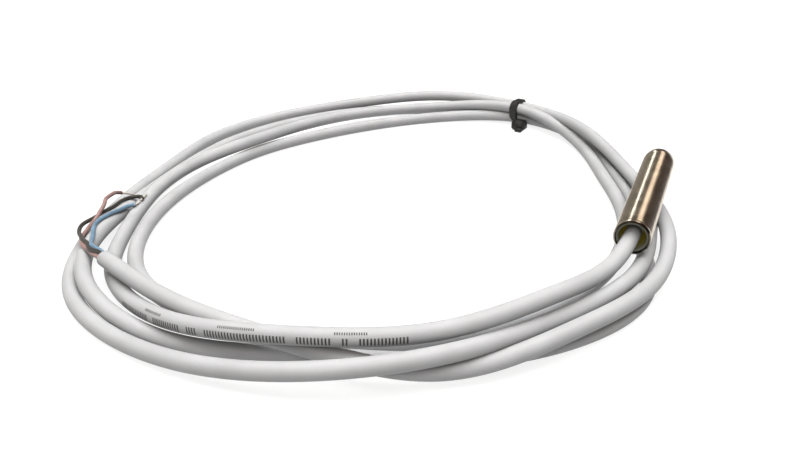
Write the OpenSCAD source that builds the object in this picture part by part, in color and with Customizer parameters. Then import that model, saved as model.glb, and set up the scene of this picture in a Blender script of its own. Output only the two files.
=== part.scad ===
// Cylindrical inductive proximity sensor with a threaded barrel and a fixed cable.
// Origin: centre of the sensing face. +Y points out of the sensing face, +Z is up.
// The barrel lies level on its own coiled cable, axis_height above the ground.

/* [Barrel] */
// Outer diameter of the barrel's thread
thread_diameter = 8; // [8:0.05:8.4]
// Distance from one thread crest to the next
thread_pitch = 1; // [1:0.05:1.2]
// Depth of the thread
thread_depth = 0.55; // [0.4:0.05:0.6]
// Length of the whole barrel, sensing face to rear rim
body_length = 50; // [50:0.5:54]
// Width of the bevels at the barrel's two ends
end_chamfer = 0.4; // [0.2:0.1:0.4]
// Plain length in front of the thread
front_land = 2.2; // [1.5:0.1:2.5]
// Plain length behind the thread
rear_land = 0.6; // [0.5:0.1:2]
// Inner diameter of the barrel
bore_diameter = 6.1; // [6:0.05:6.2]
// Inner diameter of the seats for the front cap and the rear cap
seat_diameter = 7; // [6.8:0.1:7]

/* [Front cap and coil] */
// Length of the front cap's skirt
cap_skirt_length = 5; // [4:0.5:6]
// Depth of the front cap's seat in the barrel
cap_seat_depth = 1.2; // [0.8:0.1:1.5]
// Diameter of the ferrite pot core
core_diameter = 5.2; // [4.8:0.1:5.2]
// Height of the ferrite pot core
core_height = 2.4; // [2.4:0.1:2.6]

/* [Electronics] */
// Width of the circuit board
board_width = 4.6; // [4.4:0.1:4.7]
// Thickness of the circuit board
board_thickness = 0.6; // [0.4:0.1:0.8]
// Distance from the sensing face to the board's front edge
board_start = 5.2; // [5.1:0.1:5.6]
// Distance from the sensing face to the board's rear edge
board_end = 41.8; // [41:0.1:41.8]

/* [Rear cap] */
// Distance from the sensing face to the rear cap's front edge
rear_cap_start = 43.8; // [43.5:0.1:44]
// Depth of the rear cap's flange seat in the barrel
rear_seat_depth = 3; // [2:0.5:3]
// How far the rear cap's rim lies inside the barrel
rear_recess = 0.4; // [0.3:0.1:1]
// Depth of the rear cap's open mouth, where the cable can bend
mouth_depth = 3.4; // [3:0.1:3.4]

/* [Cable] */
// Diameter of the cable's jacket
cable_diameter = 3.6; // [3.4:0.1:3.7]
// Diameter of an insulated core
core_wire_diameter = 1; // [0.8:0.1:1.1]
// Diameter of the tinned strands at a core's end
strand_diameter = 0.5; // [0.4:0.1:0.7]

/* [Cable tie] */
// Width of the tie's strap
tie_width = 2.6; // [2.4:0.1:3.6]
// Thickness of the tie's strap
tie_thickness = 0.8; // [0.6:0.1:0.8]

/* [Hidden] */
$fn = 64;
// How far a cutting solid reaches past what it cuts
cut = 1;

// Barrel
thread_r = thread_diameter / 2;
root_r = thread_r - thread_depth;
bore_r = bore_diameter / 2;
seat_r = seat_diameter / 2;
face_step = 0.2;
crest_share = 0.2;
root_share = 0.1;

// Front cap and coil
cap_wall = 0.35;
cap_floor = 0.6;
cap_bevel = 0.2;
cup_r = bore_r - cap_wall;
core_r = core_diameter / 2;
core_start = 0.7;
core_wall = 0.45;
core_plate = 0.8;
post_r = 1;
spool_gap = 0.05;
spool_start = 0.8;
spool_length = 1.5;
spool_wall = 0.2;
spool_inner_r = post_r + spool_gap;
spool_outer_r = core_r - core_wall - spool_gap;
coil_lead_r = 0.12;
coil_lead_x = 1.7;
coil_lead_end = 7;
coil_lead_y = board_thickness / 2 + coil_lead_r;

// Electronics: each chip is [x, distance behind the face, width, height, length]
oscillator = [0, 14, 3, 1, 4];
transistor = [0, 24, 1.6, 1, 2.9];
diode = [0, 30, 1.4, 1, 2.6];
led = [0, 37.5, 1.6, 0.8, 0.8];
capacitor_places = [10.5, 20.5, 34];
capacitor_size = [1.6, 0.8, 0.8];
resistor_places = [11, 17, 23, 29];
resistor_size = [0.8, 0.45, 1.6];
leg_size = [0.35, 0.2, 0.3];
leg_count = 4;
leg_pitch = 0.9;
tube_wall = 0.2;
tube_gap = 0.1;
tube_r = bore_r - tube_gap;
tube_start = 6.4;
joint_r = 0.4;
joint_length = 0.8;

// Rear cap and the cable's inlet. The cable leaves the cap at the bottom of its mouth.
flange_start = body_length - rear_seat_depth;
rim_z = body_length - rear_recess;
rim_bevel = 0.2;
mouth_r = bore_r;
mouth_start = rim_z - mouth_depth;
mouth_steps = 6;
cable_r = cable_diameter / 2;
crimp_r = 2.3;
crimp_gap = 0.2;
stub_start = rear_cap_start + crimp_gap;
crimp_length = 1.4;
crimp_end = stub_start + crimp_length + 2 * crimp_gap;
core_wire_r = core_wire_diameter / 2;
inner_core_x = 1;
inner_core_r = 0.45;
inner_core_gap = 0.05;
inner_core_y = board_thickness / 2 + inner_core_r + inner_core_gap;
potting_gap = 0.2;
potting_rear_start = board_end + potting_gap;

// The cable's turns, clockwise seen from above, around coil_centre. A station is
// [distance from coil_centre, height of the cable's middle above the ground],
// and station_step degrees lie between two stations.
axis_height = 11.8;
coil_centre = [-65, -30];
station_step = 20;
turns = [
  [[67.8, 9.6], [71.9, 10.1], [76.5, 9.2], [79, 9], [78.8, 5.6], [75, 3.2],
   [68.5, 1.8], [64, 3.6], [60.5, 4.6], [58, 5.4], [65, 4.2], [76, 3],
   [81, 4.2], [82.4, 6], [74.8, 2.2], [64, 1.8], [61, 1.8], [61.5, 1.8]],
  [[63.5, 1.8], [65.5, 1.8], [68, 1.8], [70.5, 1.8], [70.5, 1.8], [69.5, 1.8],
   [64, 1.8], [59, 1.8], [56.5, 1.8], [57, 1.8], [59, 1.8], [65, 1.8],
   [76, 1.8], [83.6, 2.6], [78.6, 1.8], [68, 1.8], [64.6, 1.8], [65.6, 1.8]],
  [[74.2, 1.8], [76.4, 1.8], [75.2, 1.8], [74.8, 1.8], [80.2, 1.8], [81, 4.6],
   [72.6, 4], [67.5, 1.8], [66.5, 1.8], [70.5, 1.8], [75.5, 1.8], [81, 1.8],
   [86, 1.8], [87.8, 2.6], [82.4, 1.8], [71.8, 1.8], [68.4, 1.8], [67.2, 4.8]],
  [[71.3, 5.6], [73.4, 5.4], [80.5, 6.8], [84.5, 5], [85.2, 2.2], [84, 1.8],
   [76.5, 1.8], [71.2, 1.8], [71.6, 1.8], [79, 1.8], [83, 2.6], [83, 5],
   [86.5, 6.6], [86.2, 5.7], [76.2, 6.6], [68.7, 5.6], [67, 5.8], [71, 6.2]],
  [[75.6, 5.3], [78, 5.4], [80, 3], [77, 6], [75.5, 7.5], [76.2, 8]]
];
stations = [for (turn = turns) for (station = turn) station];
cable_exit = [0, -mouth_start, 0];
lead_stations = 5;
tail_stations = 2;
rings_per_span = 3;
tube_sides = 8;

// The coil's solid: its outline steps round with the cable's own stations
stations_per_turn = 360 / station_step;
outline_steps = 3;
coil_height = 6.9;
full_turns = 4;

// The stripped cores beyond the jacket's end: [x, y, height above the ground]
brown_route = [
  [-102.5, -97, 7.8], [-106, -95.5, 7.8], [-109, -94, 7.2], [-112, -92.5, 7.2], [-115, -90.5, 6.6],
  [-118, -87.5, 5.4], [-120.5, -85, 4.6], [-121.5, -83, 4.6], [-123, -79.5, 4.8], [-124, -76, 5.4],
  [-124.5, -74, 6.2], [-125, -72, 7], [-126.5, -69.5, 7.4], [-127, -67, 7.4], [-128, -64.5, 6.8],
  [-128, -62.5, 6]
];
black_route = [
  [-102.2, -96.4, 8.5], [-106, -95, 8.6], [-109, -94, 8], [-112, -91.5, 7.6], [-115.5, -89.5, 7],
  [-118, -87.5, 6.4], [-120.5, -85.5, 5.8], [-122.5, -83.5, 5.4], [-124, -81.5, 5.2], [-125, -79, 5],
  [-125, -76.5, 5], [-125, -72.5, 5.2], [-125, -69, 5.2], [-126, -65, 5], [-126, -62.5, 4.8],
  [-125, -61, 4.8], [-123.5, -60.5, 4.8], [-122, -62, 5]
];
blue_route = [
  [-101.9, -96, 7.8], [-105, -94.5, 8.4], [-108, -93.5, 8.4], [-111.5, -91, 7.6], [-114, -88, 7],
  [-116.5, -85, 7], [-119, -82, 6.6], [-120.5, -79, 6.4], [-121, -76, 6.2], [-121.5, -73, 5.8],
  [-122, -69.5, 5.2], [-122.5, -67, 4.8], [-121.5, -65, 4.8]
];
brown_tip = [-126.5, -59.5, 4.6];
black_tip = [-123, -59, 5];
blue_tip = [-122, -62.5, 4.4];
core_rings_per_span = 1;

// Cable tie: the strap hugs the four strands where it crosses them. Places at the tie are
// [distance from coil_centre, height] for a strand, and [distance, offset along the
// strands, height] for the head and the cut end of the strap that sticks out of it.
tie_angle = -277.5;
strand_sides = 32;
tie_strands = [[82.5, 6], [83.4, 2.6], [87.8, 2.6], [86.4, 5.8]];
tie_strap_offset = -1.6;
tie_head_place = [78.8, -4.2, 1.6];
tie_head_size = [4, 4.6, 3.2];
tie_end_place = [75.9, -5.2, 0.7];
tie_end_size = [2, 2.4, 1.2];

// ---- helpers -------------------------------------------------------------

// Places its children behind the sensing face: their +Z runs to the rear, their +Y is up
module behind_face(distance) {
  translate([0, -distance, 0])
    rotate([90, 0, 0])
      children();
}

// A block standing on the board's upper side, or hanging under it when side is -1
module block_on_board(x, distance, size, side = 1) {
  y = side * (board_thickness / 2 + size.y / 2);
  behind_face(distance)
    translate([x, y, size.z / 2])
      cube(size, center = true);
}

module ring(outer_r, inner_r, length) {
  difference() {
    cylinder(r = outer_r, h = length);
    translate([0, 0, -cut])
      cylinder(r = inner_r, h = length + 2 * cut);
  }
}

// Point of the cable's run: 0 is the exit, the rest are the stations in order
function run_point(i) =
  i == 0 ? cable_exit :
  let (a = -station_step * i, s = stations[i - 1])
  [coil_centre.x + s[0] * cos(a), coil_centre.y + s[0] * sin(a), s[1] - axis_height];

function above_ground(route) = [for (p = route) [p.x, p.y, p.z - axis_height]];

// Smooth curve through a list of points, steps pieces to each span
function curve_point(a, b, c, d, t) =
  0.5 * (2 * b + (c - a) * t + (2 * a - 5 * b + 4 * c - d) * t * t
         + (3 * b - a - 3 * c + d) * t * t * t);

function smooth_route(route, steps) =
  let (last = len(route) - 1)
  concat(
    [for (i = [0:last - 1]) for (k = [0:steps - 1])
      curve_point(route[max(i - 1, 0)], route[i], route[i + 1], route[min(i + 2, last)], k / steps)],
    [route[last]]
  );

function unit(v) = v / norm(v);

function ring_points(route, i, r, sides) =
  let (
    last = len(route) - 1,
    along = unit(route[min(i + 1, last)] - route[max(i - 1, 0)]),
    across = unit(cross(along, [0, 0, 1])),
    up = cross(across, along)
  )
  [for (k = [0:sides - 1])
    let (a = 360 * k / sides)
    route[i] + r * (cos(a) * across + sin(a) * up)];

// A round tube swept along a route
module swept_tube(route, r, sides = tube_sides) {
  count = len(route);
  points = [for (i = [0:count - 1]) each ring_points(route, i, r, sides)];
  walls = [for (i = [0:count - 2]) for (k = [0:sides - 1])
    let (n = (k + 1) % sides)
    [i * sides + k, (i + 1) * sides + k, (i + 1) * sides + n, i * sides + n]];
  start = [[for (k = [0:sides - 1]) k]];
  finish = [[for (k = [sides - 1:-1:0]) (count - 1) * sides + k]];
  polyhedron(points = points, faces = concat(walls, start, finish), convexity = 10);
}

// ---- barrel --------------------------------------------------------------

function groove(start) =
  let (flank = thread_pitch * (1 - crest_share - root_share) / 2)
  [[thread_r, start],
   [root_r, start + flank],
   [root_r, start + flank + thread_pitch * root_share],
   [thread_r, start + 2 * flank + thread_pitch * root_share]];

groove_count = floor((body_length - front_land - rear_land) / thread_pitch);

module housing_sleeve() {
  outside = concat(
    [[seat_r, face_step],
     [thread_r - end_chamfer, face_step],
     [thread_r, face_step + end_chamfer]],
    [for (i = [0:groove_count - 1]) each groove(front_land + i * thread_pitch)],
    [[thread_r, body_length - end_chamfer],
     [thread_r - end_chamfer, body_length],
     [seat_r, body_length]]
  );
  inside = [
    [seat_r, flange_start],
    [bore_r, flange_start],
    [bore_r, cap_seat_depth],
    [seat_r, cap_seat_depth]
  ];
  color("lightgray")
    behind_face(0)
      rotate_extrude()
        polygon(concat(outside, inside));
}

// ---- front cap and coil --------------------------------------------------

module sensing_cap() {
  color("dimgray")
    behind_face(0)
      rotate_extrude()
        polygon([
          [0, 0],
          [seat_r - cap_bevel, 0],
          [seat_r, cap_bevel],
          [seat_r, cap_seat_depth],
          [bore_r, cap_seat_depth],
          [bore_r, cap_skirt_length],
          [cup_r, cap_skirt_length],
          [cup_r, cap_floor],
          [0, cap_floor]
        ]);
}

module ferrite_core() {
  bottom = core_height - core_plate;
  color([0.2, 0.2, 0.22])
    behind_face(core_start)
      difference() {
        rotate_extrude()
          polygon([
            [0, 0], [post_r, 0], [post_r, bottom], [core_r - core_wall, bottom],
            [core_r - core_wall, 0], [core_r, 0], [core_r, core_height], [0, core_height]
          ]);
        for (x = [-coil_lead_x, coil_lead_x])
          translate([x, coil_lead_y, bottom - cut])
            cylinder(r = coil_lead_r, h = core_plate + 2 * cut);
      }
}

module coil_bobbin() {
  color("ivory")
    behind_face(spool_start)
      difference() {
        rotate_extrude()
          polygon([
            [spool_inner_r, 0], [spool_outer_r, 0], [spool_outer_r, spool_wall],
            [spool_inner_r + spool_wall, spool_wall],
            [spool_inner_r + spool_wall, spool_length - spool_wall],
            [spool_outer_r, spool_length - spool_wall], [spool_outer_r, spool_length],
            [spool_inner_r, spool_length]
          ]);
        for (x = [-coil_lead_x, coil_lead_x])
          translate([x, coil_lead_y, spool_length - spool_wall])
            cylinder(r = coil_lead_r, h = spool_wall + cut);
      }
}

module coil_winding() {
  color("chocolate")
    behind_face(spool_start + spool_wall)
      ring(spool_outer_r - spool_gap, spool_inner_r + spool_wall, spool_length - 2 * spool_wall);
}

module coil_leads() {
  start = spool_start + spool_length - spool_wall;
  color("peru")
    for (x = [-coil_lead_x, coil_lead_x])
      behind_face(start)
        translate([x, coil_lead_y, 0])
          cylinder(r = coil_lead_r, h = coil_lead_end - start);
}

module potting_front() {
  start = core_start + core_height;
  color("goldenrod")
    behind_face(start)
      difference() {
        cylinder(r = cup_r, h = cap_skirt_length - start);
        for (x = [-coil_lead_x, coil_lead_x])
          translate([x, coil_lead_y, -cut])
            cylinder(r = coil_lead_r, h = cap_skirt_length + cut);
      }
}

// ---- electronics ---------------------------------------------------------

module circuit_board() {
  color("darkgreen")
    behind_face(board_start)
      translate([-board_width / 2, -board_thickness / 2, 0])
        cube([board_width, board_thickness, board_end - board_start]);
}

module oscillator_ic() {
  color("black") {
    block_on_board(oscillator[0], oscillator[1], [oscillator[2], oscillator[3], oscillator[4]]);
    for (side = [-1, 1])
      for (i = [0:leg_count - 1])
        block_on_board(
          side * (oscillator[2] + leg_size.x) / 2,
          oscillator[1] + (i + 0.5) * leg_pitch,
          leg_size
        );
  }
}

module output_transistor() {
  color("black")
    block_on_board(transistor[0], transistor[1], [transistor[2], transistor[3], transistor[4]]);
}

module protection_diode() {
  color("black")
    block_on_board(diode[0], diode[1], [diode[2], diode[3], diode[4]]);
}

module capacitors() {
  color("tan")
    for (place = capacitor_places)
      block_on_board(0, place, capacitor_size);
}

module resistors() {
  color("black")
    for (place = resistor_places)
      block_on_board(0, place, resistor_size, -1);
}

module status_led() {
  color("yellow")
    block_on_board(led[0], led[1], [led[2], led[3], led[4]]);
}

module solder_joints() {
  color("silver")
    for (i = [-1:1])
      behind_face(board_end - joint_length)
        translate([i * inner_core_x, board_thickness / 2 + joint_r, 0])
          cylinder(r = joint_r, h = joint_length);
}

module insulating_tube() {
  color([0.8, 0.75, 0.6, 0.5])
    behind_face(tube_start)
      ring(tube_r, tube_r - tube_wall, board_end - tube_start);
}

module potting_rear() {
  color("goldenrod")
    behind_face(potting_rear_start)
      difference() {
        cylinder(r = bore_r, h = rear_cap_start - potting_rear_start);
        for (i = [-1:1])
          translate([i * inner_core_x, inner_core_y, -cut])
            cylinder(r = inner_core_r, h = rear_cap_start - potting_rear_start + 2 * cut);
      }
}

// ---- rear cap and cable inlet --------------------------------------------

// Mouth of the rear cap from its floor to its rim: a quarter of an ellipse
function mouth_point(t) =
  [cable_r + (mouth_r - cable_r) * sin(90 * t), mouth_start + mouth_depth * (1 - cos(90 * t))];

module rear_cap() {
  color([0.55, 0.5, 0.2, 0.7])
    behind_face(0)
      rotate_extrude()
        polygon([
          [crimp_r, rear_cap_start],
          [bore_r, rear_cap_start],
          [bore_r, flange_start],
          [seat_r, flange_start],
          [seat_r, rim_z - rim_bevel],
          [seat_r - rim_bevel, rim_z],
          for (i = [mouth_steps:-1:0]) mouth_point(i / mouth_steps),
          [cable_r, crimp_end],
          [crimp_r, crimp_end]
        ]);
}

module crimp_ring() {
  color("silver")
    behind_face(stub_start + crimp_gap)
      ring(crimp_r, cable_r, crimp_length);
}

module jacket_stub() {
  color("gray")
    behind_face(stub_start)
      cylinder(r = cable_r, h = mouth_start - stub_start);
}

module inner_core(index) {
  behind_face(board_end)
    translate([index * inner_core_x, inner_core_y, 0])
      cylinder(r = inner_core_r, h = stub_start - board_end);
}

module inner_core_brown() {
  color("saddlebrown") inner_core(-1);
}

module inner_core_black() {
  color("black") inner_core(0);
}

module inner_core_blue() {
  color("steelblue") inner_core(1);
}

// ---- cable ---------------------------------------------------------------

module cable_lead() {
  route = [for (i = [0:lead_stations]) run_point(i)];
  color("silver")
    swept_tube(smooth_route(route, rings_per_span), cable_r);
}

module cable_tail() {
  last = len(stations);
  route = [for (i = [last - tail_stations:last]) run_point(i)];
  color("silver")
    swept_tube(smooth_route(route, rings_per_span), cable_r);
}

// Distances from coil_centre to every turn of the cable at one station
function reaches(k) = [for (turn = [0:full_turns - 1]) turns[turn][k][0]];

function corner(k, inner) =
  let (
    station = (k + stations_per_turn) % stations_per_turn,
    a = -station_step * (station + 1),
    r = inner ? min(reaches(station)) - cable_r : max(reaches(station)) + cable_r
  )
  [r * cos(a), r * sin(a)];

function outline(inner) =
  [for (k = [0:stations_per_turn - 1]) for (i = [0:outline_steps - 1])
    curve_point(
      corner(k - 1, inner), corner(k, inner), corner(k + 1, inner), corner(k + 2, inner),
      i / outline_steps
    )];

module cable_coil() {
  color("silver")
    translate([coil_centre.x, coil_centre.y, -axis_height])
      difference() {
        linear_extrude(coil_height)
          polygon(outline(false));
        translate([0, 0, -cut])
          linear_extrude(coil_height + 2 * cut)
            polygon(outline(true));
      }
}

module core_wire(route) {
  swept_tube(smooth_route(above_ground(route), core_rings_per_span), core_wire_r);
}

module tinned_end(route, tip) {
  ends = above_ground([route[len(route) - 1], tip]);
  swept_tube(ends, strand_diameter / 2);
}

module core_brown() {
  color("saddlebrown") core_wire(brown_route);
}

module core_black() {
  color("black") core_wire(black_route);
}

module core_blue() {
  color("steelblue") core_wire(blue_route);
}

module tinned_end_brown() {
  color("silver") tinned_end(brown_route, brown_tip);
}

module tinned_end_black() {
  color("silver") tinned_end(black_route, black_tip);
}

module tinned_end_blue() {
  color("silver") tinned_end(blue_route, blue_tip);
}

// ---- cable tie -----------------------------------------------------------

// Places its children where the tie crosses the strands: +X points away from
// coil_centre, +Z is up from the ground, and the strands run along Y
module at_tie() {
  translate([coil_centre.x, coil_centre.y, -axis_height])
    rotate([0, 0, tie_angle])
      children();
}

module strand_bundle(r, length) {
  hull()
    for (strand = tie_strands)
      translate([strand[0], tie_strap_offset + length / 2, strand[1]])
        rotate([90, 0, 0])
          cylinder(r = r, h = length, $fn = strand_sides);
}

module tie_strap() {
  color("black")
    at_tie()
      difference() {
        strand_bundle(cable_r + tie_thickness, tie_width);
        strand_bundle(cable_r, tie_width + cut);
      }
}

module tie_head() {
  color("black")
    at_tie() {
      translate(tie_head_place)
        cube(tie_head_size, center = true);
      translate(tie_end_place)
        cube(tie_end_size, center = true);
    }
}

housing_sleeve();
sensing_cap();
ferrite_core();
coil_bobbin();
coil_winding();
coil_leads();
potting_front();
circuit_board();
oscillator_ic();
output_transistor();
protection_diode();
capacitors();
resistors();
status_led();
solder_joints();
insulating_tube();
potting_rear();
rear_cap();
crimp_ring();
jacket_stub();
inner_core_brown();
inner_core_black();
inner_core_blue();
cable_lead();
cable_coil();
cable_tail();
core_brown();
core_black();
core_blue();
tinned_end_brown();
tinned_end_black();
tinned_end_blue();
tie_strap();
tie_head();
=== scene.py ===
import math

import bmesh
import bpy
import numpy as np
from mathutils import Matrix, Vector


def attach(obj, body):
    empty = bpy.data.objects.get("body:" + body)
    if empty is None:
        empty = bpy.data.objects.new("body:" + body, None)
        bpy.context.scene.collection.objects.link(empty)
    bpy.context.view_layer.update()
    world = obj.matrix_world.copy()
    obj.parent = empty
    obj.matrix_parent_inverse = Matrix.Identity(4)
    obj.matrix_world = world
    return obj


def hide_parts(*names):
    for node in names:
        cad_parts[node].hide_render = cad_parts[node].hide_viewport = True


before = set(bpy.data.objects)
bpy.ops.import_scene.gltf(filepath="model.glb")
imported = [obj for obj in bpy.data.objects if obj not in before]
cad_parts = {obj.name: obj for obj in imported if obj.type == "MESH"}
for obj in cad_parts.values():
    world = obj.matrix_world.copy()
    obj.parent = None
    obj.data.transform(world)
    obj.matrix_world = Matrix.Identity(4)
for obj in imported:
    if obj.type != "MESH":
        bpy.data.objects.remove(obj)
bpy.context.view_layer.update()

MM = 0.001
TAU = 2 * math.pi

# ---- sizes, in millimetres, as in the part's source --------------------------

AXIS_HEIGHT = 11.8
BODY_LENGTH = 50.0
THREAD_R = 4.0
THREAD_PITCH = 1.0
THREAD_DEPTH = 0.55
THREAD_START = 2.2
THREAD_END = 49.4
END_CHAMFER = 0.4
FACE_STEP = 0.2
SEAT_R = 3.5
BORE_R = 3.05
CAP_SEAT_DEPTH = 1.2
REAR_CAP_START = 43.8
REAR_SEAT_START = 47.0
RIM_Z = 49.6
RIM_BEVEL = 0.2
MOUTH_START = 46.2
CRIMP_R = 2.3
CRIMP_END = 45.8
CABLE_R = 1.8
CORE_R = 0.5
STRAND_R = 0.25
TIE_WIDTH = 2.6
TIE_THICKNESS = 0.8
TIE_ANGLE = -277.5
TIE_STRANDS = [(82.5, 6.0), (83.4, 2.6), (87.8, 2.6), (86.4, 5.8)]
TIE_HEAD_PLACE = (78.8, -4.2, 1.6)
TIE_HEAD_SIZE = (4, 4.6, 3.2)
TIE_END_PLACE = (75.9, -5.2, 0.7)
TIE_END_SIZE = (2.0, 2.4, 1.2)

# ---- the cable's and the cores' routes, as in the part's source --------------

COIL_CENTRE = (-65.0, -30.0)
STATION_STEP = 20.0
CABLE_EXIT = (0.0, -MOUTH_START, 0.0)
TURNS = [
    [(67.8, 9.6), (71.9, 10.1), (76.5, 9.2), (79, 9), (78.8, 5.6), (75, 3.2),
     (68.5, 1.8), (64, 3.6), (60.5, 4.6), (58, 5.4), (65, 4.2), (76, 3),
     (81, 4.2), (82.4, 6), (74.8, 2.2), (64, 1.8), (61, 1.8), (61.5, 1.8)],
    [(63.5, 1.8), (65.5, 1.8), (68, 1.8), (70.5, 1.8), (70.5, 1.8), (69.5, 1.8),
     (64, 1.8), (59, 1.8), (56.5, 1.8), (57, 1.8), (59, 1.8), (65, 1.8),
     (76, 1.8), (83.6, 2.6), (78.6, 1.8), (68, 1.8), (64.6, 1.8), (65.6, 1.8)],
    [(74.2, 1.8), (76.4, 1.8), (75.2, 1.8), (74.8, 1.8), (80.2, 1.8), (81, 4.6),
     (72.6, 4), (67.5, 1.8), (66.5, 1.8), (70.5, 1.8), (75.5, 1.8), (81, 1.8),
     (86, 1.8), (87.8, 2.6), (82.4, 1.8), (71.8, 1.8), (68.4, 1.8), (67.2, 4.8)],
    [(71.3, 5.6), (73.4, 5.4), (80.5, 6.8), (84.5, 5), (85.2, 2.2), (84, 1.8),
     (76.5, 1.8), (71.2, 1.8), (71.6, 1.8), (79, 1.8), (83, 2.6), (83, 5),
     (86.5, 6.6), (86.2, 5.7), (76.2, 6.6), (68.7, 5.6), (67, 5.8), (71, 6.2)],
    [(75.6, 5.3), (78, 5.4), (80, 3), (77, 6), (75.5, 7.5), (76.2, 8)],
]
BROWN_ROUTE = [
    (-102.5, -97, 7.8), (-106, -95.5, 7.8), (-109, -94, 7.2), (-112, -92.5, 7.2),
    (-115, -90.5, 6.6), (-118, -87.5, 5.4), (-120.5, -85, 4.6), (-121.5, -83, 4.6),
    (-123, -79.5, 4.8), (-124, -76, 5.4), (-124.5, -74, 6.2), (-125, -72, 7),
    (-126.5, -69.5, 7.4), (-127, -67, 7.4), (-128, -64.5, 6.8), (-128, -62.5, 6),
]
BLACK_ROUTE = [
    (-102.2, -96.4, 8.5), (-106, -95, 8.6), (-109, -94, 8), (-112, -91.5, 7.6),
    (-115.5, -89.5, 7), (-118, -87.5, 6.4), (-120.5, -85.5, 5.8), (-122.5, -83.5, 5.4),
    (-124, -81.5, 5.2), (-125, -79, 5), (-125, -76.5, 5), (-125, -72.5, 5.2),
    (-125, -69, 5.2), (-126, -65, 5), (-126, -62.5, 4.8), (-125, -61, 4.8),
    (-123.5, -60.5, 4.8), (-122, -62, 5),
]
BLUE_ROUTE = [
    (-101.9, -96, 7.8), (-105, -94.5, 8.4), (-108, -93.5, 8.4), (-111.5, -91, 7.6),
    (-114, -88, 7), (-116.5, -85, 7), (-119, -82, 6.6), (-120.5, -79, 6.4),
    (-121, -76, 6.2), (-121.5, -73, 5.8), (-122, -69.5, 5.2), (-122.5, -67, 4.8),
    (-121.5, -65, 4.8),
]
CABLE_SAMPLE = 1.5
CORE_SAMPLE = 0.5
BROWN_TIP = (-126.5, -59.5, 4.6)
BLACK_TIP = (-123, -59, 5)
BLUE_TIP = (-122, -62.5, 4.4)


def cable_route():
    """The cable's points in the row frame, from its exit through every station in order."""
    points = [CABLE_EXIT]
    stations = [station for turn in TURNS for station in turn]
    for count, (reach, height) in enumerate(stations, start=1):
        angle = math.radians(-STATION_STEP * count)
        x = COIL_CENTRE[0] + reach * math.cos(angle)
        y = COIL_CENTRE[1] + reach * math.sin(angle)
        points.append((x, y, height - AXIS_HEIGHT))
    return np.array(points)


def above_ground(route):
    """Points of the row frame from a route whose heights count from the ground."""
    return np.array([(x, y, height - AXIS_HEIGHT) for x, y, height in route])


def knots_of(points):
    """How far along the straight pieces each point lies."""
    steps = np.linalg.norm(np.diff(points, axis=0), axis=1)
    return np.concatenate([[0], np.cumsum(steps)])


def smooth(points, step):
    """A natural cubic spline through the points, sampled about every step millimetres."""
    points = np.asarray(points, float)
    knots = knots_of(points)
    gaps = np.diff(knots)
    count = len(points)
    matrix = np.eye(count)
    right = np.zeros_like(points)
    for i in range(1, count - 1):
        matrix[i, i - 1:i + 2] = gaps[i - 1], 2 * (gaps[i - 1] + gaps[i]), gaps[i]
        slope_before = (points[i] - points[i - 1]) / gaps[i - 1]
        slope_after = (points[i + 1] - points[i]) / gaps[i]
        right[i] = 6 * (slope_after - slope_before)
    bend = np.linalg.solve(matrix, right)
    places = np.linspace(0, knots[-1], int(knots[-1] / step) + 2)
    span = np.clip(np.searchsorted(knots, places, side="right") - 1, 0, count - 2)
    h = gaps[span][:, None]
    after = (places - knots[span])[:, None]
    before = h - after
    low, high = points[span], points[span + 1]
    low_bend, high_bend = bend[span], bend[span + 1]
    return (
        low_bend * before ** 3 / (6 * h) + high_bend * after ** 3 / (6 * h)
        + (low / h - low_bend * h / 6) * before + (high / h - high_bend * h / 6) * after
    )


def frames_along(path):
    """For each point of a path: its direction, and two unit vectors across it."""
    along = np.gradient(path, axis=0)
    along /= np.linalg.norm(along, axis=1)[:, None]
    across = np.cross(along, (0, 0, 1))
    across /= np.linalg.norm(across, axis=1)[:, None]
    return along, across, np.cross(across, along)


# ---- mesh builders -----------------------------------------------------------

LOBE_DEPTH = 0.14


def mesh_object(name, verts, faces, material):
    """A smooth-shaded object from points in millimetres."""
    mesh = bpy.data.meshes.new(name)
    mesh.from_pydata([tuple(float(c) * MM for c in v) for v in verts], [], faces)
    mesh.validate()
    mesh.shade_smooth()
    mesh.materials.append(material)
    obj = bpy.data.objects.new(name, mesh)
    bpy.context.scene.collection.objects.link(obj)
    return obj


def clean(obj, merge=0.002):
    """Merge points closer than merge millimetres and turn every face outwards."""
    bm = bmesh.new()
    bm.from_mesh(obj.data)
    bmesh.ops.remove_doubles(bm, verts=bm.verts, dist=merge * MM)
    bmesh.ops.recalc_face_normals(bm, faces=bm.faces)
    bm.to_mesh(obj.data)
    bm.free()
    return obj


def join_rings(first, second, sides):
    """Faces between two rings of points, by the numbers of their first points."""
    faces = []
    for k in range(sides):
        n = (k + 1) % sides
        faces.append((first + k, first + n, second + n, second + k))
    return faces


def tube(name, path, radius, material, sides=24, bevel=0.0, lobes=0, lay=1.0):
    """A closed tube along path with bevelled ends. Where lobes isn't 0, that many strands
    show on it, twisted once round it in every lay millimetres."""
    along, across, up = frames_along(path)
    places = knots_of(path)
    rings = [(path[i], radius, i) for i in range(1, len(path) - 1)]
    last = len(path) - 1
    rings.insert(0, (path[0] + along[0] * bevel, radius, 0))
    rings.append((path[last] - along[last] * bevel, radius, last))
    if bevel:
        rings.insert(0, (path[0], radius - bevel, 0))
        rings.append((path[last], radius - bevel, last))
    verts = []
    for centre, ring_r, i in rings:
        for k in range(sides):
            a = TAU * k / sides
            twist = lobes * a + TAU * places[i] / lay
            r = ring_r * (1 + LOBE_DEPTH * math.cos(twist)) if lobes else ring_r
            verts.append(centre + r * (math.cos(a) * across[i] + math.sin(a) * up[i]))
    faces = [tuple(range(sides - 1, -1, -1))]
    for i in range(len(rings) - 1):
        faces += join_rings(i * sides, (i + 1) * sides, sides)
    faces.append(tuple((len(rings) - 1) * sides + k for k in range(sides)))
    return clean(mesh_object(name, verts, faces, material), merge=0.0005)


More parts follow.
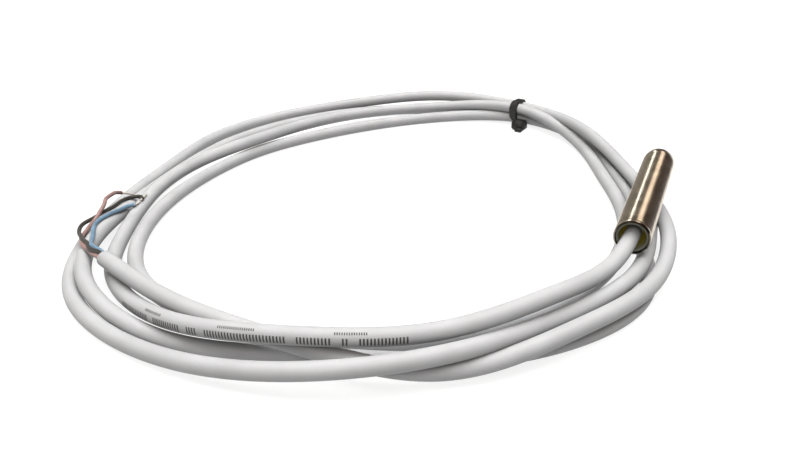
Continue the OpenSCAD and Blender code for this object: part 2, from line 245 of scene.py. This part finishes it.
def rounded_block(name, size, bevel, material):
    """A block about its own origin with rounded edges."""
    mesh = bpy.data.meshes.new(name)
    bm = bmesh.new()
    bmesh.ops.create_cube(bm, size=1)
    for v in bm.verts:
        v.co = Vector((v.co.x * size[0], v.co.y * size[1], v.co.z * size[2])) * MM
    bmesh.ops.bevel(bm, geom=list(bm.edges), offset=bevel * MM, segments=3, affect="EDGES")
    bm.to_mesh(mesh)
    bm.free()
    mesh.shade_smooth()
    mesh.materials.append(material)
    obj = bpy.data.objects.new(name, mesh)
    bpy.context.scene.collection.objects.link(obj)
    return obj


def lathe(name, profile, material, sides=128):
    """A solid of revolution round the barrel's axis from (radius, distance behind the face)."""
    verts = []
    for r, z in profile:
        for k in range(sides):
            a = TAU * k / sides
            verts.append((r * math.sin(a), -z, r * math.cos(a)))
    faces = []
    for i in range(len(profile)):
        faces += join_rings(i * sides, (i + 1) % len(profile) * sides, sides)
    return clean(mesh_object(name, verts, faces, material))


def place(piece, slot, *nodes):
    """Fix a piece to the body, in place of the CAD nodes it stands for."""
    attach(piece, "root")
    if nodes:
        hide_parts(*nodes)
    return piece


# ---- camera ------------------------------------------------------------------

CAMERA_PLACE = (0.01295, -0.20679, 0.0737)
CAMERA_TURN = (64.7, 0, 23.1)


def make_camera():
    """The camera of the main view."""
    data = bpy.data.cameras.new("camera")
    data.lens = 35
    data.sensor_width = 36
    data.clip_start = 0.01
    data.clip_end = 50
    camera = bpy.data.objects.new("camera", data)
    camera.location = CAMERA_PLACE
    camera.rotation_euler = [math.radians(turn) for turn in CAMERA_TURN]
    bpy.context.scene.collection.objects.link(camera)
    bpy.context.scene.camera = camera


make_camera()

# ---- materials ---------------------------------------------------------------

JACKET_COLOR = (0.198, 0.2, 0.205)
BROWN_COLOR = (0.13, 0.08, 0.074)
BLACK_COLOR = (0.018, 0.016, 0.014)
BLUE_COLOR = (0.062, 0.107, 0.15)
NICKEL_COLOR = (0.66, 0.6, 0.52)
FLANK_SHADE = (0.22, 0.19, 0.16)
SHADE_DEPTH = 0.25
CAP_COLOR = (0.2, 0.18, 0.08)
CAP_RIM_COLOR = (0.075, 0.076, 0.062)
CAP_DEEP_COLOR = (0.09, 0.07, 0.008)
CAP_PAINTED_GLOW = 0.25
TINNED_COLOR = (0.55, 0.52, 0.48)
NYLON_COLOR = (0.005, 0.005, 0.005)
INK_COLOR = (0.02, 0.02, 0.02)
CLOUD_RANGE = (0.35, 0.65)
ROUGHNESS_RANGE = (0.85, 1.2)
GRAIN_STRENGTH = 0.15


def new_material(name, color, roughness, metallic=0.0):
    """A new material, its node tree and its shader."""
    material = bpy.data.materials.new(name)
    material.use_nodes = True
    shader = material.node_tree.nodes["Principled BSDF"]
    shader.inputs["Base Color"].default_value = (*color, 1)
    shader.inputs["Roughness"].default_value = roughness
    shader.inputs["Metallic"].default_value = metallic
    return material, material.node_tree, shader


def add_noise(tree, scale, detail=3.0, stretch=(1, 1, 1)):
    """A noise texture in the piece's own coordinates."""
    coords = tree.nodes.new("ShaderNodeTexCoord")
    mapping = tree.nodes.new("ShaderNodeMapping")
    mapping.inputs["Scale"].default_value = stretch
    noise = tree.nodes.new("ShaderNodeTexNoise")
    noise.inputs["Scale"].default_value = scale
    noise.inputs["Detail"].default_value = detail
    tree.links.new(coords.outputs["Object"], mapping.inputs["Vector"])
    tree.links.new(mapping.outputs["Vector"], noise.inputs["Vector"])
    return noise.outputs["Fac"]


def add_ramp(tree, source, low, high, low_color, high_color):
    """Colours between two, for a source value between low and high."""
    ramp = tree.nodes.new("ShaderNodeValToRGB")
    ramp.color_ramp.elements[0].position = low
    ramp.color_ramp.elements[1].position = high
    ramp.color_ramp.elements[0].color = (*low_color, 1)
    ramp.color_ramp.elements[1].color = (*high_color, 1)
    tree.links.new(source, ramp.inputs["Fac"])
    return ramp.outputs["Color"]


def vary(tree, source, socket, low, high):
    """Drive a shader's number from a texture, between low and high."""
    node = tree.nodes.new("ShaderNodeMapRange")
    node.inputs["To Min"].default_value = low
    node.inputs["To Max"].default_value = high
    tree.links.new(source, node.inputs["Value"])
    tree.links.new(node.outputs["Result"], socket)


def add_bump(tree, shader, height, strength, distance):
    bump = tree.nodes.new("ShaderNodeBump")
    bump.inputs["Strength"].default_value = strength
    bump.inputs["Distance"].default_value = distance * MM
    tree.links.new(height, bump.inputs["Height"])
    tree.links.new(bump.outputs["Normal"], shader.inputs["Normal"])


def textured(name, color, roughness, metallic=0.0, cloud=400, grain=1800, depth=0.03,
             variation=0.12, stretch=(1, 1, 1)):
    """A material with a cloudy colour and roughness, and a fine grain depth millimetres deep."""
    material, tree, shader = new_material(name, color, roughness, metallic)
    clouds = add_noise(tree, cloud)
    low = tuple(c * (1 - variation) for c in color)
    high = tuple(min(1, c * (1 + variation)) for c in color)
    tree.links.new(add_ramp(tree, clouds, *CLOUD_RANGE, low, high), shader.inputs["Base Color"])
    smoother, rougher = (roughness * share for share in ROUGHNESS_RANGE)
    vary(tree, clouds, shader.inputs["Roughness"], smoother, min(1, rougher))
    add_bump(tree, shader, add_noise(tree, grain, stretch=stretch), GRAIN_STRENGTH, depth)
    return material, tree, shader


def jacket_material():
    """Grey extruded PVC: a faint cloudiness, a fine grain and a soft sheen."""
    material, _, shader = textured("jacket_grey_pvc", JACKET_COLOR, 0.5, cloud=110, grain=2400,
                                   variation=0.05)
    shader.inputs["Specular IOR Level"].default_value = 0.3
    return material


def nickel_material():
    """Nickel plating: warm metal with fine turning marks, with painted shade down the thread's
    flanks.
    """
    material, tree, shader = textured("nickel_plating", NICKEL_COLOR, 0.2, 1.0, cloud=320,
                                      grain=1500, depth=0.02, stretch=(1, 6, 1))
    plating = shader.inputs["Base Color"].links[0].from_socket
    coords = tree.nodes.new("ShaderNodeTexCoord")
    across = tree.nodes.new("ShaderNodeVectorMath")
    across.operation = "MULTIPLY"
    across.inputs[1].default_value = (1, 0, 1)
    tree.links.new(coords.outputs["Object"], across.inputs[0])
    radius = tree.nodes.new("ShaderNodeVectorMath")
    radius.operation = "LENGTH"
    tree.links.new(across.outputs["Vector"], radius.inputs[0])
    height = tree.nodes.new("ShaderNodeMapRange")
    height.inputs["From Min"].default_value = (THREAD_R - SHADE_DEPTH) * MM
    height.inputs["From Max"].default_value = THREAD_R * MM
    tree.links.new(radius.outputs["Value"], height.inputs["Value"])
    # Painted shade: the plating's colour is multiplied darker below the crest, down the thread's
    # flanks
    shade = tree.nodes.new("ShaderNodeMixRGB")
    shade.blend_type = "MULTIPLY"
    shade.inputs["Fac"].default_value = 1
    tree.links.new(plating, shade.inputs["Color1"])
    tree.links.new(add_ramp(tree, height.outputs["Result"], 0, 0.85, FLANK_SHADE, (1, 1, 1)),
                   shade.inputs["Color2"])
    tree.links.new(shade.outputs["Color"], shader.inputs["Base Color"])
    return material


def rear_cap_material():
    """Translucent olive plastic, deeper in colour towards the bottom of its mouth, with a painted
    glow in the same colour that stands in for light shining through the plastic.
    """
    material, tree, shader = new_material("rear_cap_olive", CAP_COLOR, 0.22)
    shader.inputs["Transmission Weight"].default_value = 0.15
    shader.inputs["IOR"].default_value = 1.5
    coords = tree.nodes.new("ShaderNodeTexCoord")
    split = tree.nodes.new("ShaderNodeSeparateXYZ")
    tree.links.new(coords.outputs["Object"], split.inputs["Vector"])
    depth = tree.nodes.new("ShaderNodeMapRange")
    depth.inputs["From Min"].default_value = -RIM_Z * MM
    depth.inputs["From Max"].default_value = -MOUTH_START * MM
    tree.links.new(split.outputs["Y"], depth.inputs["Value"])
    color = add_ramp(tree, depth.outputs["Result"], 0.1, 0.8, CAP_RIM_COLOR, CAP_DEEP_COLOR)
    tree.links.new(color, shader.inputs["Base Color"])
    # Painted glow: the cap emits its own colour, standing in for light shining through the plastic
    tree.links.new(color, shader.inputs["Emission Color"])
    shader.inputs["Emission Strength"].default_value = CAP_PAINTED_GLOW
    clouds = add_noise(tree, 700)
    vary(tree, clouds, shader.inputs["Roughness"], 0.16, 0.3)
    add_bump(tree, shader, clouds, 0.2, 0.04)
    return material


JACKET = jacket_material()
NICKEL = nickel_material()
REAR_CAP = rear_cap_material()
BROWN_CORE = textured("core_brown_pvc", BROWN_COLOR, 0.4)[0]
BLACK_CORE = textured("core_black_pvc", BLACK_COLOR, 0.45)[0]
BLUE_CORE = textured("core_blue_pvc", BLUE_COLOR, 0.4)[0]
TINNED = textured("tinned_copper", TINNED_COLOR, 0.4, 0.6, grain=2600, depth=0.06)[0]
TIE_NYLON = textured("tie_black_nylon", NYLON_COLOR, 0.55)[0]
PRINT_INK = textured("jacket_print_ink", INK_COLOR, 0.6)[0]

# ---- cable and cores ---------------------------------------------------------


cable_points = cable_route()
cable_path = smooth(cable_points, CABLE_SAMPLE)
cable = place(tube("cable_jacket", cable_path, CABLE_R, JACKET, sides=28, bevel=0.25),
              "jacket_pvc", "cable_lead", "cable_coil", "cable_tail")


TIP_OVERLAP = 0.6
TIP_RINGS = 24
TIP_STRANDS = 7
TIP_LAY = 3.5


def make_core(color, route, tip, material):
    """One stripped core with its tinned end: the two pieces and the core's path."""
    path = smooth(above_ground(route), CORE_SAMPLE)
    wire = place(tube(f"core_{color}_insulation", path, CORE_R, material, sides=18, bevel=0.06),
                 f"core_pvc_{color}", f"core_{color}")
    start, finish = above_ground([route[-1], tip])
    direction = (finish - start) / np.linalg.norm(finish - start)
    end_path = np.linspace(start - TIP_OVERLAP * direction, finish, TIP_RINGS)
    end = place(tube(f"tinned_end_{color}_strands", end_path, STRAND_R, TINNED, sides=28,
                     bevel=0.04, lobes=TIP_STRANDS, lay=TIP_LAY),
                f"tinned_copper_{color}", f"tinned_end_{color}")
    return wire, end, path


brown, brown_end, brown_path = make_core("brown", BROWN_ROUTE, BROWN_TIP, BROWN_CORE)
black, black_end, black_path = make_core("black", BLACK_ROUTE, BLACK_TIP, BLACK_CORE)
blue, blue_end, blue_path = make_core("blue", BLUE_ROUTE, BLUE_TIP, BLUE_CORE)

# ---- generic print on the jacket ---------------------------------------------
# Plain strokes stand where the real cable carries its maker's print.

CABLE_FRAMES = frames_along(cable_path)
CABLE_PLACES = knots_of(cable_path)
PRINT_START = 5.5
PRINT_LENGTH = 62.0
PRINT_HEIGHT = 0.02
PRINT_DEPTH = 0.1
PRINT_STATION = 3
# A row: its lowest and highest angle round the jacket, the strokes in each group, and the
# pitch of the strokes, their width and the gap after a group in millimetres
PRINT_ROWS = [
    ((-22, 24), (14, 2, 10, 26, 4, 12, 20, 8), 0.62, 0.3, 1.7),
    ((44, 60), (0, 14, 0, 18, 0, 12, 0), 0.42, 0.2, 7.0),
]


def print_stroke(low_place, high_place, low_angle, high_angle):
    """Corner points and faces of one thin closed patch on the jacket's outer side."""
    along, across, up = CABLE_FRAMES
    steps = 5
    verts = []
    for place_along in (low_place, high_place):
        centre, side, top = (
            np.array([np.interp(place_along, CABLE_PLACES, v[:, i]) for i in range(3)])
            for v in (cable_path, across, up))
        for r in (CABLE_R - PRINT_DEPTH, CABLE_R + PRINT_HEIGHT):
            for angle in np.radians(np.linspace(low_angle, high_angle, steps)):
                verts.append(centre + r * (math.sin(angle) * top - math.cos(angle) * side))
    rows = [list(range(i * steps, (i + 1) * steps)) for i in range(4)]
    faces = []
    for a, b in ((0, 1), (1, 3), (3, 2), (2, 0)):
        for k in range(steps - 1):
            faces.append((rows[a][k], rows[a][k + 1], rows[b][k + 1], rows[b][k]))
    for k in (0, steps - 1):
        faces.append(tuple(rows[i][k] for i in (0, 1, 3, 2)))
    return verts, faces


def make_print():
    """Plain upright strokes in groups, in a large row with a small row above it."""
    station = cable_points[PRINT_STATION]
    first = CABLE_PLACES[np.argmin(np.linalg.norm(cable_path - station, axis=1))] + PRINT_START
    verts, faces = [], []
    for (low, high), groups, pitch, width, gap in PRINT_ROWS:
        position = first
        for strokes in groups:
            for _ in range(strokes):
                if position < first + PRINT_LENGTH:
                    patch_verts, patch_faces = print_stroke(position, position + width, low, high)
                    faces.extend(tuple(len(verts) + i for i in face) for face in patch_faces)
                    verts.extend(patch_verts)
                position += pitch
            position += gap
    marks = clean(mesh_object("jacket_print_marks", verts, faces, PRINT_INK), merge=0.0001)
    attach(marks, "root")
    return marks


print_marks = make_print()

# ---- cable tie ---------------------------------------------------------------

CIRCLE_POINTS = 72
STRAP_OFFSET = -0.9
STRAP_TOP_LEAN = 0.02
STRAP_TOP_REACH = 82
STRAP_FOOT_LEAN = 0.7
STRAP_FOOT_HEIGHT = 3.2
STRAP_CLEARANCE = 0.02
COLLAR_SIZE = (0.6, 3.4, 2)
COLLAR_SHIFT = (-0.3, -0.2)


def hull_loop(circles, radius, count):
    """The convex outline round equal circles, as count points at even spacing."""
    cloud = []
    for cx, cz in circles:
        for k in range(CIRCLE_POINTS):
            a = TAU * k / CIRCLE_POINTS
            cloud.append((cx + radius * math.cos(a), cz + radius * math.sin(a)))
    cloud = sorted(cloud)

    def half(points):
        chain = []
        for p in points:
            while len(chain) > 1:
                (ax, ay), (bx, by) = chain[-2], chain[-1]
                if (bx - ax) * (p[1] - ay) - (by - ay) * (p[0] - ax) > 0:
                    break
                chain.pop()
            chain.append(p)
        return chain[:-1]

    loop = np.array(half(cloud) + half(cloud[::-1]))
    closed = np.vstack([loop, loop[:1]])
    places = knots_of(closed)
    even = np.linspace(0, places[-1], count, endpoint=False)
    return np.column_stack([np.interp(even, places, closed[:, i]) for i in (0, 1)])


def tie_point(reach, slide, height):
    """A point by its distance from the coil's centre, its place along the strands, its height."""
    a = math.radians(TIE_ANGLE)
    x = COIL_CENTRE[0] + reach * math.cos(a) - slide * math.sin(a)
    y = COIL_CENTRE[1] + reach * math.sin(a) + slide * math.cos(a)
    return (x, y, height - AXIS_HEIGHT)


def strap_slide(reach, height):
    """How far the strap leans along the strands: over the top, and down towards the head."""
    top = STRAP_TOP_LEAN * (reach - STRAP_TOP_REACH)
    return STRAP_OFFSET - top - STRAP_FOOT_LEAN * max(0, STRAP_FOOT_HEIGHT - height)


def make_tie_strap():
    """A ribbed band round the four strands."""
    count = 192
    inner = hull_loop(TIE_STRANDS, CABLE_R + STRAP_CLEARANCE, count)
    outer = hull_loop(TIE_STRANDS, CABLE_R + TIE_THICKNESS, count)
    bevel, rib_depth, rib_inset = 0.2, 0.16, 0.6
    half = TIE_WIDTH / 2
    verts = []
    for i, (low, high) in enumerate(zip(inner, outer)):
        rib = 1 - rib_depth * (i % 4 > 1)
        section = [(0, -half), (0.75, -half), (1, -half + bevel), (1, -half + rib_inset),
                   (rib, -half + rib_inset + 0.1), (rib, half - rib_inset - 0.1),
                   (1, half - rib_inset), (1, half - bevel), (0.75, half), (0, half)]
        for share, slide in section:
            reach = low[0] + (high[0] - low[0]) * share
            height = low[1] + (high[1] - low[1]) * share
            verts.append(tie_point(reach, slide + strap_slide(reach, height), height))
    width = len(section)
    faces = []
    for i in range(count):
        faces += join_rings(i * width, (i + 1) % count * width, width)
    return place(clean(mesh_object("tie_strap_band", verts, faces, TIE_NYLON), merge=0.0001),
                 "tie_nylon", "tie_strap")


def tie_block(name, spot, size, bevel):
    """A rounded block of the tie, square to the strands."""
    block = rounded_block(name, size, bevel, TIE_NYLON)
    block.location = Vector(tie_point(*spot)) * MM
    block.rotation_euler = (0, 0, math.radians(TIE_ANGLE))
    return block


def make_tie_head():
    """The tie's head with a raised collar round the strap's slot, and the strap's cut end."""
    head = place(tie_block("tie_head_block", TIE_HEAD_PLACE, TIE_HEAD_SIZE, 0.5),
                 "tie_nylon_head", "tie_head")
    reach, slide, height = TIE_HEAD_PLACE
    face = reach - TIE_HEAD_SIZE[0] / 2
    spot = (face, slide + COLLAR_SHIFT[0], height + COLLAR_SHIFT[1])
    collar = place(tie_block("tie_head_collar", spot, COLLAR_SIZE, 0.25), "tie_nylon_head")
    stub = place(tie_block("tie_cut_end", TIE_END_PLACE, TIE_END_SIZE, 0.2), "tie_nylon_head")
    return [head, collar, stub]


strap = make_tie_strap()
head_pieces = make_tie_head()

# ---- barrel and rear cap -----------------------------------------------------

CREST_SHARE = 0.32
ROOT_SHARE = 0.16
FRONT_RUN_OUT = 0.9
REAR_RUN_OUT = 0.3
LIP = 0.12


def thread_cut(z, turn_angle):
    """How far the thread cuts in at a distance behind the face and an angle round the axis."""
    phase = (z / THREAD_PITCH - turn_angle / TAU) % 1.0
    rise = (1 - CREST_SHARE - ROOT_SHARE) / 2
    depth = min(1.0, max(0.0, (0.5 - CREST_SHARE / 2 - abs(phase - 0.5)) / rise))
    fade = min(1.0, (z - THREAD_START) / FRONT_RUN_OUT, (THREAD_END - z) / REAR_RUN_OUT)
    return THREAD_DEPTH * depth * max(0.0, fade)


def make_barrel():
    """The barrel with its helical thread. Each ring of points climbs one pitch and ends on
    the first point of the ring one pitch on, where the two merge."""
    sides = 144
    samples = 8
    front = [(SEAT_R, FACE_STEP), (THREAD_R - END_CHAMFER, FACE_STEP),
             (THREAD_R, FACE_STEP + END_CHAMFER)]
    rear = [(THREAD_R, BODY_LENGTH - END_CHAMFER), (THREAD_R - END_CHAMFER, BODY_LENGTH),
            (SEAT_R + LIP, BODY_LENGTH), (SEAT_R, BODY_LENGTH - LIP), (SEAT_R, REAR_SEAT_START),
            (BORE_R, REAR_SEAT_START), (BORE_R, CAP_SEAT_DEPTH), (SEAT_R, CAP_SEAT_DEPTH)]
    turns = int((THREAD_END - THREAD_START) / THREAD_PITCH) + 2
    width = sides + 1
    angles = [TAU * k / sides for k in range(width)]
    rings = [[(r, z)] * width for r, z in front]
    for j in range(-samples, turns * samples + 1):
        ring = []
        for k, a in enumerate(angles):
            z = THREAD_START + THREAD_PITCH * (j / samples + k / sides)
            z = min(THREAD_END, max(THREAD_START, z))
            ring.append((THREAD_R - thread_cut(z, a), z))
        rings.append(ring)
    rings += [[(r, z)] * width for r, z in rear]
    verts = [(r * math.sin(a), -z, r * math.cos(a))
             for ring in rings for (r, z), a in zip(ring, angles)]
    faces = []
    for i in range(len(rings)):
        first, second = i * width, (i + 1) % len(rings) * width
        faces += join_rings(first, second, width)[:sides]
    return place(clean(mesh_object("barrel_threaded", verts, faces, NICKEL)),
                 "nickel_plated_brass", "housing_sleeve")


def make_rear_cap():
    """The cap with its open mouth: a quarter ellipse from the cable's throat to the rim."""
    profile = [(CRIMP_R, REAR_CAP_START), (BORE_R, REAR_CAP_START), (BORE_R, REAR_SEAT_START),
               (SEAT_R, REAR_SEAT_START), (SEAT_R, RIM_Z - RIM_BEVEL), (SEAT_R - RIM_BEVEL, RIM_Z)]
    steps = 16
    for i in range(steps, -1, -1):
        a = math.pi / 2 * i / steps
        profile.append((CABLE_R + (BORE_R - CABLE_R) * math.sin(a),
                        MOUTH_START + (RIM_Z - MOUTH_START) * (1 - math.cos(a))))
    profile += [(CABLE_R, CRIMP_END), (CRIMP_R, CRIMP_END)]
    return place(lathe("rear_cap_body", profile, REAR_CAP), "rear_cap_translucent", "rear_cap")


make_barrel()
make_rear_cap()

# ---- carried-over CAD nodes: colour, roughness and how metallic each is -------

CARRIED = {
    "sensing_cap": ((0.035, 0.037, 0.04), 0.5, 0),
    "ferrite_core": ((0.03, 0.03, 0.033), 0.65, 0),
    "coil_bobbin": ((0.65, 0.62, 0.5), 0.45, 0),
    "coil_winding": ((0.5, 0.18, 0.06), 0.28, 1),
    "coil_leads": ((0.55, 0.22, 0.08), 0.28, 1),
    "potting_front": ((0.45, 0.3, 0.08), 0.18, 0),
    "circuit_board": ((0.015, 0.1, 0.035), 0.3, 0),
    "oscillator_ic": ((0.02, 0.02, 0.022), 0.5, 0),
    "output_transistor": ((0.022, 0.02, 0.02), 0.5, 0),
    "protection_diode": ((0.018, 0.018, 0.02), 0.5, 0),
    "capacitors": ((0.35, 0.22, 0.11), 0.4, 0),
    "resistors": ((0.03, 0.03, 0.035), 0.35, 0),
    "status_led": ((0.8, 0.62, 0.12), 0.1, 0),
    "solder_joints": ((0.6, 0.6, 0.58), 0.25, 1),
    "insulating_tube": ((0.5, 0.42, 0.22), 0.2, 0),
    "potting_rear": ((0.45, 0.3, 0.08), 0.2, 0),
    "crimp_ring": ((0.5, 0.5, 0.5), 0.3, 1),
    "jacket_stub": (JACKET_COLOR, 0.5, 0),
    "inner_core_brown": (BROWN_COLOR, 0.4, 0),
    "inner_core_black": (BLACK_COLOR, 0.45, 0),
    "inner_core_blue": (BLUE_COLOR, 0.4, 0),
}


def repaint(node, color, roughness, metallic):
    """Give a carried-over CAD node its own procedural material."""
    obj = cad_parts[node]
    obj.data.materials.clear()
    obj.data.materials.append(textured(f"{node}_finish", color, roughness, metallic)[0])


for node, (color, roughness, metallic) in CARRIED.items():
    repaint(node, color, roughness, metallic)

# ---- floor, light and world --------------------------------------------------

FLOOR_HALF = 12.0
FLOOR_COLOR = (0.12, 0.12, 0.12)
FLOOR_GLOW = 0.82
LEFT_COLOR = (0.3, 0.28, 0.24)
RIGHT_COLOR = (0.07, 0.05, 0.04)


def make_floor():
    """A white floor that glows a little, so that shadows on it stay pale."""
    mesh = bpy.data.meshes.new("floor")
    z = -AXIS_HEIGHT * MM
    corners = [(x * FLOOR_HALF, y * FLOOR_HALF, z) for x, y in ((-1, -1), (1, -1), (1, 1), (-1, 1))]
    mesh.from_pydata(corners, [], [(0, 1, 2, 3)])
    material, _, shader = new_material("floor_white", FLOOR_COLOR, 0.6)
    shader.inputs["Emission Color"].default_value = (1, 1, 1, 1)
    shader.inputs["Emission Strength"].default_value = FLOOR_GLOW
    mesh.materials.append(material)
    floor = bpy.data.objects.new("floor", mesh)
    bpy.context.scene.collection.objects.link(floor)


def area_light(name, direction, distance, size, radiance, color=(1, 1, 1), mirrored=True):
    """A softbox in a direction from the barrel's middle, its second side along the barrel.
    Its power follows from the radiance that it shall show."""
    target = Vector((0, -BODY_LENGTH / 2, 0)) * MM
    aim = Vector(direction).normalized()
    data = bpy.data.lights.new(name, "AREA")
    data.shape = "RECTANGLE"
    data.size, data.size_y = size
    data.energy = radiance * math.pi * size[0] * size[1]
    data.color = color
    light = bpy.data.objects.new(name, data)
    light.location = target + aim * distance
    lengthwise = (Vector((0, 1, 0)) - aim * aim.y).normalized()
    sideways = lengthwise.cross(aim)
    light.rotation_euler = Matrix((sideways, lengthwise, aim)).transposed().to_euler()
    light.visible_glossy = mirrored
    bpy.context.scene.collection.objects.link(light)


def make_world():
    """A dim room: olive grey on the left of the barrel and dark brown on its right."""
    world = bpy.data.worlds.new("studio")
    bpy.context.scene.world = world
    world.use_nodes = True
    tree = world.node_tree
    coords = tree.nodes.new("ShaderNodeTexCoord")
    split = tree.nodes.new("ShaderNodeSeparateXYZ")
    tree.links.new(coords.outputs["Generated"], split.inputs["Vector"])
    side = tree.nodes.new("ShaderNodeMapRange")
    side.inputs["From Min"].default_value = -1
    side.inputs["From Max"].default_value = 1
    tree.links.new(split.outputs["X"], side.inputs["Value"])
    color = add_ramp(tree, side.outputs["Result"], 0.15, 0.6, LEFT_COLOR, RIGHT_COLOR)
    tree.links.new(color, tree.nodes["Background"].inputs["Color"])


make_floor()
make_world()
area_light("overhead_fill", (0, 0.05, 1), 1.2, (1.3, 1.3), 11, mirrored=False)
area_light("front_softbox", (0.05, -0.75, 0.7), 1.1, (0.8, 0.8), 4, mirrored=False)
area_light("left_strip", (-0.45, 0, 0.88), 0.9, (0.08, 1.1), 11, (1, 0.97, 0.88))
area_light("overhead_strip", (0.22, 0, 0.98), 0.9, (0.26, 1.1), 2.6, (1, 0.86, 0.7))
area_light("front_strip", (0.14, -0.75, 0.7), 1.1, (0.4, 0.5), 3.5, (1, 0.88, 0.74))
bpy.context.scene.view_settings.view_transform = "Standard"
